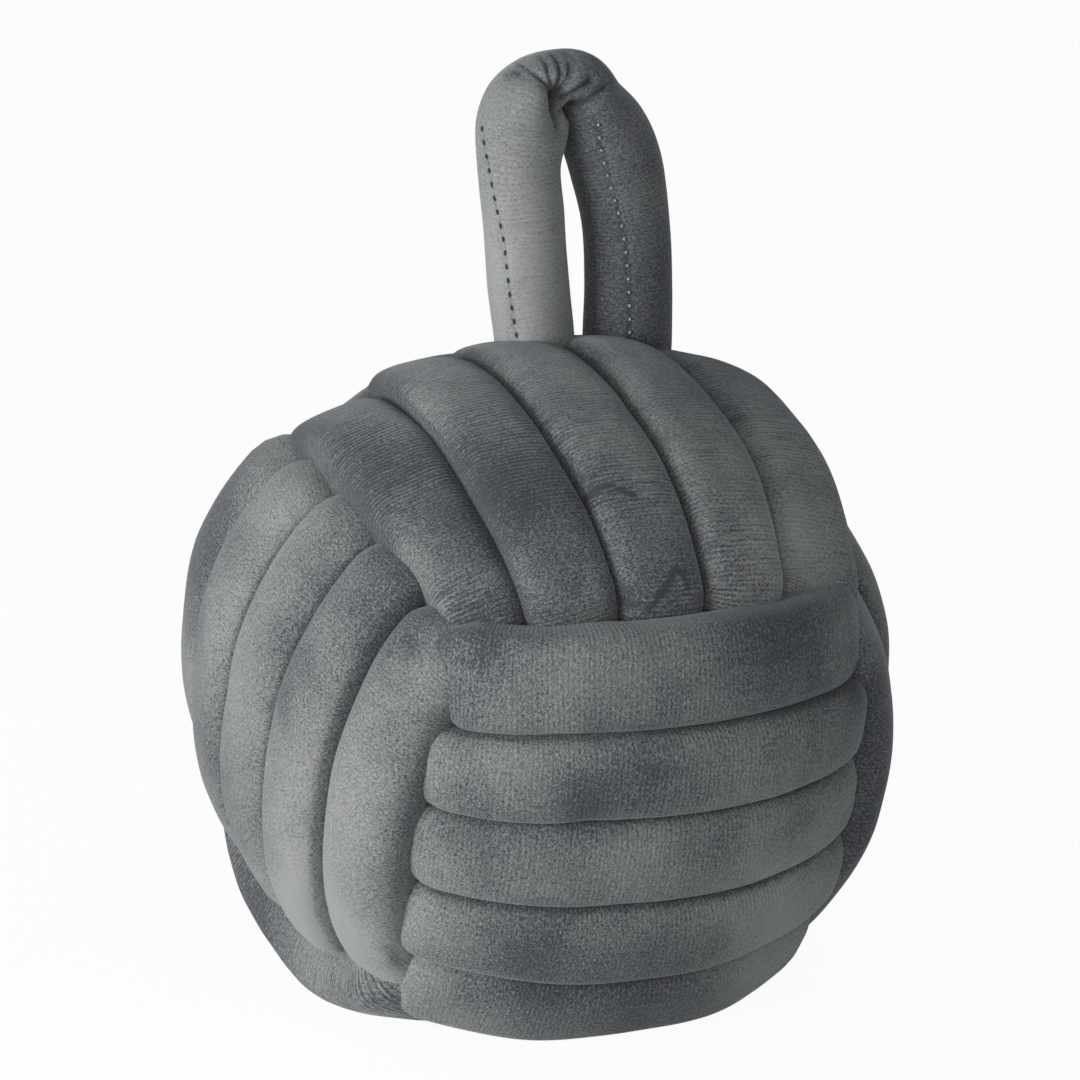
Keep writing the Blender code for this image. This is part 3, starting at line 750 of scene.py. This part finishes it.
def paint_light_on_pile(piece, places):
    """Paint the pile paler or darker round these places: painted light and shade, partly its lie.
    """
    layer = piece.data.attributes["lay"].data
    lay = np.empty(len(layer) * 3, np.float32)
    layer.foreach_get("vector", lay)
    lay = lay.reshape(-1, 3)
    points = mesh_rows(piece, "co") / MM
    for place, reach, change in places:
        away = np.linalg.norm(points - np.array(place), axis=1)
        lay[:, 2] += change * np.exp(-(away / reach) ** 2)
    layer.foreach_set("vector", lay.ravel())


def dent_and_shade_pile(piece, lines):
    """Press the skin a little in along these lines, with painted crease shadow on the pile there.
    """
    points, normals = mesh_rows(piece, "co"), mesh_rows(piece, "normal")
    shade_marks = np.zeros(len(points))
    for reach, depth, line in lines:
        shade_marks += depth * np.exp(-(distance_to_line(points / MM, line) / reach) ** 2)
    set_points(piece, points - normals * (np.minimum(shade_marks, 1.0) * PRESSED_IN)[:, None])
    set_painted_shade(piece, shade_marks)


def make_rope(name, node, thirds, pile_tone_and_light, bulge, roundness, places, lines, tree, cover,
              early=NO_EARLY_DIVE, pulls=()):
    """One winding of stuffed velvet rope, turned a number of thirds about the corner axis."""
    about_corner = Matrix.Rotation(-thirds * 2 * pi / 3, 3, Vector((1, 1, 1)))
    turn = Matrix.Rotation(LEAN, 3, "X") @ about_corner
    centre = Vector((0, 0, CENTRE_HEIGHT))
    rows = [(turn @ row[0] + centre, turn @ row[1], turn @ row[2], *row[3:])
            for row in rope_stations(bulge, roundness, early, pulls)]
    source = stations_object(name + "_stations", rows, [pile_tone_and_light] * len(rows))
    piece = apply_tree(name, source, tree, sides=ROPE_SIDES, crowding=0.3, waver=2.2 * MM,
                       waver_size=45 * MM, lumps=0.9 * MM, lump_size=20 * MM, cover=cover)
    settle(piece)
    # Painted light and shade on the pile round listed places, partly its lie
    paint_light_on_pile(piece, places)
    # Dents, with painted crease shadow on the pile along them
    dent_and_shade_pile(piece, lines)
    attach(piece, "root")
    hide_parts(node)


def handle_curve(share):
    """One place on the loop: centre across and up, half thickness, half depth, seam's turn.

    Share runs from the left foot over the pinched bend to the right foot.
    """
    place = share * (len(HANDLE_STATIONS) - 1)
    index = min(int(place), len(HANDLE_STATIONS) - 2)
    rest = place - index
    rows = [HANDLE_STATIONS[min(max(index + step, 0), len(HANDLE_STATIONS) - 1)]
            for step in (-1, 0, 1, 2)]
    blended = []
    for before, start, end, after in zip(*rows):
        rise, fall = (end - before) / 2, (after - start) / 2
        blended.append(start + rest * (rise + rest * (
            3 * (end - start) - 2 * rise - fall + rest * (2 * (start - end) + rise + fall))))
    return blended


def handle_inward(before, after):
    """The level direction into the loop, square to its run between two places on it."""
    run = Vector((after[0] - before[0], 0, after[1] - before[1])).normalized()
    return Vector((run.z, 0, -run.x))


def handle_rows(inset):
    """Stations of the loop's tube, drawn in by inset; aside points in, openness is nil."""
    top = handle_place(0, 0, 0)
    curve = [handle_curve(step / HANDLE_STEPS) for step in range(HANDLE_STEPS + 1)]
    rows = []
    for index, (across, up, half_thickness, half_depth, _) in enumerate(curve):
        inner = handle_inward(curve[max(index - 1, 0)], curve[min(index + 1, HANDLE_STEPS)])
        rows.append((top + Vector((across, 0, up)) * MM, inner * (half_thickness * MM - inset),
                     Vector((0, -1, 0)) * (half_depth * MM - inset), HANDLE_FULLNESS, 0.0))
    return rows


def handle_place(across, back, up):
    """A place given in millimetres from the handle's middle, middle and top."""
    low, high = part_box("handle_sleeve")
    return Vector(((low.x + high.x) / 2, (low.y + high.y) / 2, high.z)) + Vector(
        (across, back, up)) * MM


def press_folds(piece):
    """Fold the loop's skin in where it bends over on itself; gives the depth for painted fold
    shade.
    """
    points = mesh_rows(piece, "co")
    local = (points - np.array(handle_place(0, 0, 0))) / MM
    flat = np.column_stack([local[:, 0], local[:, 2]])
    deep = np.zeros(len(points))
    for side, folds in ((-1, FRONT_FOLDS), (1, BACK_FOLDS)):
        facing = np.clip((side * local[:, 1] + FOLD_FADE_START) / FOLD_FADE_SPAN, 0, 1)
        for depth, width, line in folds:
            away = distance_to_line(flat, line)
            press = depth * np.exp(-away / width) * facing
            points[:, 1] -= side * press * MM
            # How far into a fold: the painted fold shade follows this
            deep = np.maximum(deep, press / depth * np.exp(-away / FOLD_SHADE_REACH))
    set_points(piece, points)
    return deep


def seam_line(piece, first, last):
    """Points of the handle's seam from one share of the loop to another, on its skin."""
    line = []
    for step in range(SEAM_STEPS + 1):
        share = first + (last - first) * step / SEAM_STEPS
        across, up, half_thickness, half_depth, turn = handle_curve(share)
        inner = handle_inward(handle_curve(max(share - 0.01, 0)),
                              handle_curve(min(share + 0.01, 1)))
        spot = (inner * (half_thickness * MM * cos(radians(turn)))
                + Vector((0, -half_depth * MM * sin(radians(turn)), 0)))
        line.append(piece.closest_point_on_mesh(handle_place(across, 0, up) + spot)[1])
    return line


def make_handle(tree, cover):
    """The velvet sleeve of the loop behind the crown, pinched where it bends over."""
    outside, inside = handle_rows(0.0), handle_rows(SLEEVE_WALL)
    # Painted light on the left leg and painted shade on the right, with the pile's lie, changing
    # over the bend
    legs = [LEFT_LEG_TONE_AND_LIGHT + (RIGHT_LEG_TONE_AND_SHADE - LEFT_LEG_TONE_AND_LIGHT)
            * smooth_step((step / HANDLE_STEPS - LEG_TONE_CHANGE_START) / LEG_TONE_CHANGE_SPAN)
            for step in range(len(outside))]
    source = stations_object("handle_stations", outside + inside[::-1] + outside[:1],
                             legs + legs[::-1] + legs[:1])
    piece = apply_tree("handle_loop", source, tree, sides=HANDLE_SIDES, crowding=0.0,
                       waver=0.8 * MM, waver_size=30 * MM, lumps=0.4 * MM,
                       lump_size=16 * MM, cover=cover)
    deep = press_folds(piece)
    seams = [seam_line(piece, *LEFT_SEAM), seam_line(piece, *RIGHT_SEAM)]
    points = mesh_rows(piece, "co")
    near = np.minimum(*(distance_to_line(points, line) for line in seams))
    groove = np.exp(-(near / SEAM_GROOVE_REACH) ** 2) * SEAM_GROOVE_DEPTH
    set_points(piece, points - mesh_rows(piece, "normal") * groove[:, None])
    # Painted shade in the loop's folds and along the seam groove
    set_painted_shade(piece, np.clip(deep * 1.1 + np.exp(-(near / SEAM_SHADE_REACH) ** 2) * 0.5, 0, 1))
    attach(piece, "root")
    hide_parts("handle_sleeve")
    return seams


def stitch_tree():
    """Geometry nodes that lay one stitch at every pitch along a line."""
    bench, taken = opened_tree("stitched_line", "stitches", line="Geometry", pitch="Float",
                               length="Float", thickness="Float", thread="Material")
    curve = bench.node("GeometryNodeMeshToCurve", {"Mesh": taken["line"]})
    spots = bench.node("GeometryNodeCurveToPoints", {"Curve": curve, "Length": taken["pitch"]},
                       mode="LENGTH")
    tangent = Value(bench, spots.socket.node.outputs["Tangent"])
    turned = bench.node("FunctionNodeAlignRotationToVector", {"Vector": tangent}, axis="Z")
    bead = bench.node("GeometryNodeMeshUVSphere", {"Segments": 12, "Rings": 8, "Radius": 0.5})
    size = bench.vector(taken["thickness"], taken["thickness"], taken["length"])
    laid = bench.node("GeometryNodeInstanceOnPoints",
                      {"Points": spots, "Instance": bead, "Rotation": turned, "Scale": size})
    real = bench.node("GeometryNodeRealizeInstances", {"Geometry": laid})
    smooth = bench.node("GeometryNodeSetShadeSmooth", {"Geometry": real})
    return closed_tree(bench, smooth, taken["thread"])


def make_stitches(name, tree, line, size, thread):
    mesh = bpy.data.meshes.new(name + "_line")
    mesh.from_pydata(line, [(index, index + 1) for index in range(len(line) - 1)], [])
    piece = apply_tree(name, linked_object(name + "_line", mesh), tree, pitch=STITCH_PITCH,
                       thread=thread, **size)
    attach(piece, "root")


def thread_material(name, colour):
    """Spun thread of this colour, a little darker in places."""
    material, bench, place = new_material(name, 0.7, 0.2)
    dark = tuple(part * 0.6 for part in colour[:3]) + (1,)
    return surfaced(material, bench, bench.noise(place, THREAD_SCALE), (dark, colour))


def wadding_material():
    """White polyester fibre, combed along and matted."""
    material, bench, place = new_material("wadding", 0.9, 0.4, 0.6)
    x, y, z = bench.parts(place)
    combed = bench.noise(bench.vector(x * COMBED_ACROSS, y * COMBED_ACROSS, z * COMBED_ALONG),
                         1.0, 3.0, 0.6)
    mat = bench.noise(place, MATTED_SCALE, 3.0, 0.6)
    return surfaced(material, bench, (combed * 0.6 + mat * 0.5).rising(0.3, 0.8),
                    WADDING_COLOURS, combed * 0.6 + mat, WADDING_RELIEF)


def woven_material():
    """Plain woven cotton: threads over and under one another round and up the pouch."""
    material, bench, place = new_material("pouch_cotton", 0.88, 0.2)
    x, y, z = bench.parts(place)
    warp = (y.turn_from(x) * (POUCH_THREADS / 2)).sine()
    weft = (z * (pi / CLOTH_PITCH)).sine()
    over = (warp * weft).sign() * 0.5 + 0.5
    height = over * abs(warp) + (1 - over) * abs(weft)
    slub = bench.noise(place, SLUB_SCALE)
    return surfaced(material, bench, (height * 0.5 + slub * 0.6).at_most(1.0),
                    COTTON_COLOURS, height + slub * 0.3, CLOTH_RELIEF)


def sand_material():
    """Dry sand: grains of a few tans, some pale, some dark."""
    material, bench, place = new_material("dry_sand", 0.92)
    grains = {"Vector": place, "Scale": SAND_GRAIN_SCALE}
    tint = bench.parts(bench.node("ShaderNodeTexVoronoi", grains, "Color"))[0]
    damp = bench.noise(place, SAND_DAMP_SCALE)
    return surfaced(material, bench, (tint * 0.8 + damp * 0.3).at_most(1.0), SAND_COLOURS,
                    bench.node("ShaderNodeTexVoronoi", grains), SAND_RELIEF)


def join_rings(mesh, near, far):
    for corners in zip(near, near[1:] + near[:1], far[1:] + far[:1], far):
        mesh.faces.new(corners)


def finished_piece(name, mesh, cover):
    """A smooth piece on the one body, its faces turned outward."""
    bmesh.ops.recalc_face_normals(mesh, faces=mesh.faces)
    data = bpy.data.meshes.new(name)
    mesh.to_mesh(data)
    mesh.free()
    data.polygons.foreach_set("use_smooth", [True] * len(data.polygons))
    data.materials.append(cover)
    piece = linked_object(name, data)
    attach(piece, "root")
    return piece


def ringed_piece(name, rings, cover, bottom, top):
    """A closed mesh through rings of points, with a middle point at each end."""
    mesh = bmesh.new()
    loops = [[mesh.verts.new(point) for point in ring] for ring in rings]
    for near, far in zip(loops, loops[1:]):
        join_rings(mesh, near, far)
    for middle, loop, turned in ((bottom, loops[0], True), (top, loops[-1], False)):
        spot = mesh.verts.new(middle)
        for pair in zip(loop, loop[1:] + loop[:1]):
            mesh.faces.new((spot,) + (pair[::-1] if turned else pair))
    return finished_piece(name, mesh, cover)


def make_wadding(tree):
    """Polyester filling of the loop, matted and a little uneven."""
    rows = handle_rows(SLEEVE_WALL + WADDING_CLEARANCE)
    rows = rounded_ends(rows[WADDING_STEPS_SHORT:-WADDING_STEPS_SHORT])
    source = stations_object("wadding_stations", rows, [0.0] * len(rows))
    piece = apply_tree("handle_wadding", source, tree, sides=WADDING_SIDES, crowding=0.0,
                       waver=0.4 * MM, waver_size=20 * MM, lumps=0.7 * MM,
                       lump_size=5 * MM, cover=wadding_material())
    press_folds(piece)
    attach(piece, "root")
    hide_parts("handle_filling")


def pouch_ring(middle, radius, height, gathered):
    """A level ring of the pouch; gathered is how deep its pleats are, as a share."""
    ring = []
    for side in range(POUCH_SIDES):
        angle = 2 * pi * side / POUCH_SIDES
        pleat = cos(PLEATS * angle + 0.6 * sin(3 * angle))
        here = radius * (1 + gathered * pleat)
        ring.append(middle + Vector((here * cos(angle), here * sin(angle), height)))
    return ring


def make_pouch():
    """A cotton bag, gathered in pleats at its tied neck, round with the sand in it."""
    low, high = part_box("weight_pouch")
    radius = (high.x - low.x) / 2
    middle = Vector(((low.x + high.x) / 2, (low.y + high.y) / 2, high.z - NECK_RISE - radius))
    outline = [(radius * cos(radians(angle)), radius * sin(radians(angle)),
                PLEAT_DEPTH * smooth_step((angle - 30) / 45)) for angle in POUCH_HEIGHTS]
    outline += [(wide * MM, radius + rise * MM, gathered) for wide, rise, gathered in POUCH_NECK]
    outer = [pouch_ring(middle, wide, height, gathered) for wide, height, gathered in outline]
    inner = [pouch_ring(middle, max(wide - POUCH_WALL, NARROWEST_BORE),
                        height + (POUCH_WALL if height < 0 else -POUCH_WALL)
                        * abs(height) / (radius + NECK_RISE), gathered)
             for wide, height, gathered in outline]
    piece = ringed_piece("sand_pouch", outer + inner[::-1], woven_material(),
                         middle - Vector((0, 0, radius)),
                         middle - Vector((0, 0, radius - POUCH_WALL)))
    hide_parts("weight_pouch")


def make_sand():
    """The sand in the pouch, its top lying in low ripples."""
    low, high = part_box("sand_fill")
    middle = (low + high) / 2
    radius = (high.x - low.x) / 2
    centre = Vector((middle.x, middle.y, low.z + radius))
    rise = high.z - (low.z + radius)
    rings = [pouch_ring(centre, radius * cos(radians(angle)), radius * sin(radians(angle)), 0.0)
             for angle in range(-87, round(degrees(atan2(rise, radius))), SAND_STEP)]
    edge = sqrt(radius * radius - rise * rise)
    for share in SAND_SHARES:
        ring = pouch_ring(Vector((middle.x, middle.y, high.z)), edge * share, 0.0, 0.0)
        for spot in ring:
            bend = 2 * sin(spot.y * RIPPLE_BENDS)
            spot.z -= (1 - cos(spot.x * RIPPLES + bend)) * RIPPLE_DEPTH
        rings.append(ring)
    piece = ringed_piece("pouch_sand", rings, sand_material(),
                         Vector((middle.x, middle.y, low.z)),
                         Vector((middle.x, middle.y, high.z - RIPPLE_DEPTH)))
    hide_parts("sand_fill")


def make_cord():
    """A cord of three strands laid round the pouch's neck."""
    low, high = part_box("pouch_tie")
    middle = (low + high) / 2
    thickness = high.z - low.z
    ring_radius = (high.x - low.x - thickness) / 2
    strand, lay = thickness * CORD_STRAND_SHARE, thickness * CORD_LAY_SHARE
    turns = [2 * pi * side / CORD_SIDES for side in range(CORD_SIDES)]
    made = bmesh.new()
    for number in range(CORD_STRANDS):
        loops = []
        for step in range(CORD_STEPS):
            angle = 2 * pi * step / CORD_STEPS
            twist = CORD_TWISTS * angle + 2 * pi * number / CORD_STRANDS
            away = Vector((cos(angle), sin(angle), 0))
            centre = middle + away * (ring_radius + lay * cos(twist)) + Vector(
                (0, 0, lay * sin(twist)))
            loops.append([made.verts.new(centre + away * (strand * cos(turn)) + Vector(
                (0, 0, strand * sin(turn)))) for turn in turns])
        for near, far in zip(loops, loops[1:] + loops[:1]):
            join_rings(made, near, far)
    piece = finished_piece("pouch_cord", made, thread_material("cotton_cord", CORD_WHITE))
    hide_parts("pouch_tie")


def make_floor():
    """A plain pale floor that shows near white and keeps the object's shadow."""
    mesh = bpy.data.meshes.new("floor")
    mesh.from_pydata([(x * FLOOR_REACH, y * FLOOR_REACH, 0) for x, y in (
        (-1, -1), (1, -1), (1, 1), (-1, 1))], [], [(0, 1, 2, 3)])
    floor = linked_object("floor", mesh)
    material = bpy.data.materials.new("floor_white")
    material.use_nodes = True
    tree = material.node_tree
    tree.nodes.remove(tree.nodes["Principled BSDF"])
    bench = Bench(tree)
    paint = bench.node("ShaderNodeBsdfDiffuse", {"Color": FLOOR_GREY})
    glow = bench.node("ShaderNodeEmission", {"Color": (1, 1, 1, 1), "Strength": FLOOR_GLOW})
    share = seen_directly(bench) * FLOOR_GLOW_SHARE
    shown = bench.node("ShaderNodeMixShader", {0: share, 1: paint, 2: glow})
    tree.links.new(shown.socket, tree.nodes["Material Output"].inputs["Surface"])
    floor.data.materials.append(material)


def seen_directly(bench):
    """1 for what the camera, gloss or glass shows, 0 for light that falls on things."""
    path = bench.node("ShaderNodeLightPath").socket.node
    camera = Value(bench, path.outputs["Is Camera Ray"])
    gloss = Value(bench, path.outputs["Is Glossy Ray"])
    glass = Value(bench, path.outputs["Is Transmission Ray"])
    return camera.at_least(gloss).at_least(glass)


def make_world():
    world = bpy.data.worlds.new("studio")
    bpy.context.scene.world = world
    world.use_nodes = True
    tree = world.node_tree
    bench = Bench(tree)
    around = tree.nodes["Background"]
    around.inputs["Color"].default_value = ROOM_COLOUR
    around.inputs["Strength"].default_value = ROOM_STRENGTH
    white = bench.node("ShaderNodeBackground", {"Color": (1, 1, 1, 1), "Strength": 1.0})
    shown = bench.node("ShaderNodeMixShader", {
        0: seen_directly(bench), 1: Value(bench, around.outputs[0]), 2: white})
    tree.links.new(shown.socket, tree.nodes["World Output"].inputs["Surface"])


def make_lamp(name, direction, distance, side, power):
    """A large soft lamp that faces the ball from this direction."""
    lamp = bpy.data.lights.new(name, "AREA")
    lamp.shape = "SQUARE"
    lamp.size = side
    lamp.energy = power
    made = linked_object(name, lamp)
    away = Vector(direction).normalized()
    made.location = Vector((0, 0, CENTRE_HEIGHT)) + away * distance
    made.rotation_euler = away.to_track_quat("Z", "Y").to_euler()


def make_camera():
    """The photograph's view: a long lens a little left of the front and a little above."""
    back = Vector((sin(VIEW_AZIMUTH) * cos(VIEW_ELEVATION),
                   -cos(VIEW_AZIMUTH) * cos(VIEW_ELEVATION), sin(VIEW_ELEVATION)))
    right = Vector((cos(VIEW_AZIMUTH), sin(VIEW_AZIMUTH), 0))
    up = back.cross(right)
    lens = bpy.data.cameras.new("photo_lens")
    lens.sensor_width = SENSOR_WIDTH
    lens.lens = SENSOR_WIDTH * VIEW_DISTANCE / (IMAGE_SIDE / PIXELS_PER_METRE)
    lens.clip_end = FARTHEST_SEEN
    camera = linked_object("photo_camera", lens)
    target = Vector((0, 0, CENTRE_HEIGHT)) + up * (CENTRE_BELOW_MIDDLE / PIXELS_PER_METRE)
    camera.location = target + back * VIEW_DISTANCE
    camera.rotation_euler = back.to_track_quat("Z", "Y").to_euler()
    bpy.context.scene.camera = camera


make_camera()
make_world()
make_floor()
for window in WINDOWS:
    make_lamp(*window)
bpy.context.scene.view_settings.view_transform = "Standard"

SKIN = skin_tree()
make_rope("front_back_rope", "front_back_winding", thirds=0, pile_tone_and_light=0.36,
          bulge=(0.26, 0.10, 0.26, -0.12), roundness=3.2, tree=SKIN,
          places=FRONT_BACK_LIGHT_AND_SHADE, lines=FRONT_BACK_DENT_SHADOWS,
          cover=velvet("velvet_mid", (0.1, 0.3, 0.2), crease_shade=0.60, ribbed=0.45))
make_rope("left_right_rope", "left_right_winding", thirds=1, pile_tone_and_light=0.41,
          bulge=(0.12, 0.12, 0.24, 0.12), roundness=2.8, tree=SKIN,
          early=LEFT_RIGHT_EARLY_DIVE, places=LEFT_RIGHT_LIGHT_AND_SHADE, lines=LEFT_RIGHT_DENT_SHADOWS,
          cover=velvet("velvet_pale", (0.5, 0.7, 0.1), crease_shade=0.50, ribbed=0.30))
make_rope("top_bottom_rope", "top_bottom_winding", thirds=2, pile_tone_and_light=0.27,
          bulge=(0.26, 0.06, 0.26, 0.24), roundness=3.5, tree=SKIN,
          pulls=TOP_BOTTOM_PULLS, places=TOP_BOTTOM_LIGHT_AND_SHADE, lines=TOP_BOTTOM_DENT_SHADOWS,
          cover=velvet("velvet_deep", (0.9, 0.2, 0.6), crease_shade=0.60, ribbed=1.15,
                       shadow_lines=TOP_BOTTOM_SHADOW_LINES))

STITCHES = stitch_tree()
LEFT_LINE, RIGHT_LINE = make_handle(SKIN, velvet("velvet_handle", (0.3, 0.5, 0.8),
                                                 speckle=1.6, patched=1.1))
make_stitches("left_stitches", STITCHES, LEFT_LINE, LEFT_STITCH,
              thread_material("dark_thread", DARK_THREAD))
make_stitches("right_stitches", STITCHES, RIGHT_LINE, RIGHT_STITCH,
              thread_material("pale_thread", PALE_THREAD))
make_wadding(SKIN)
make_pouch()
make_sand()
make_cord()
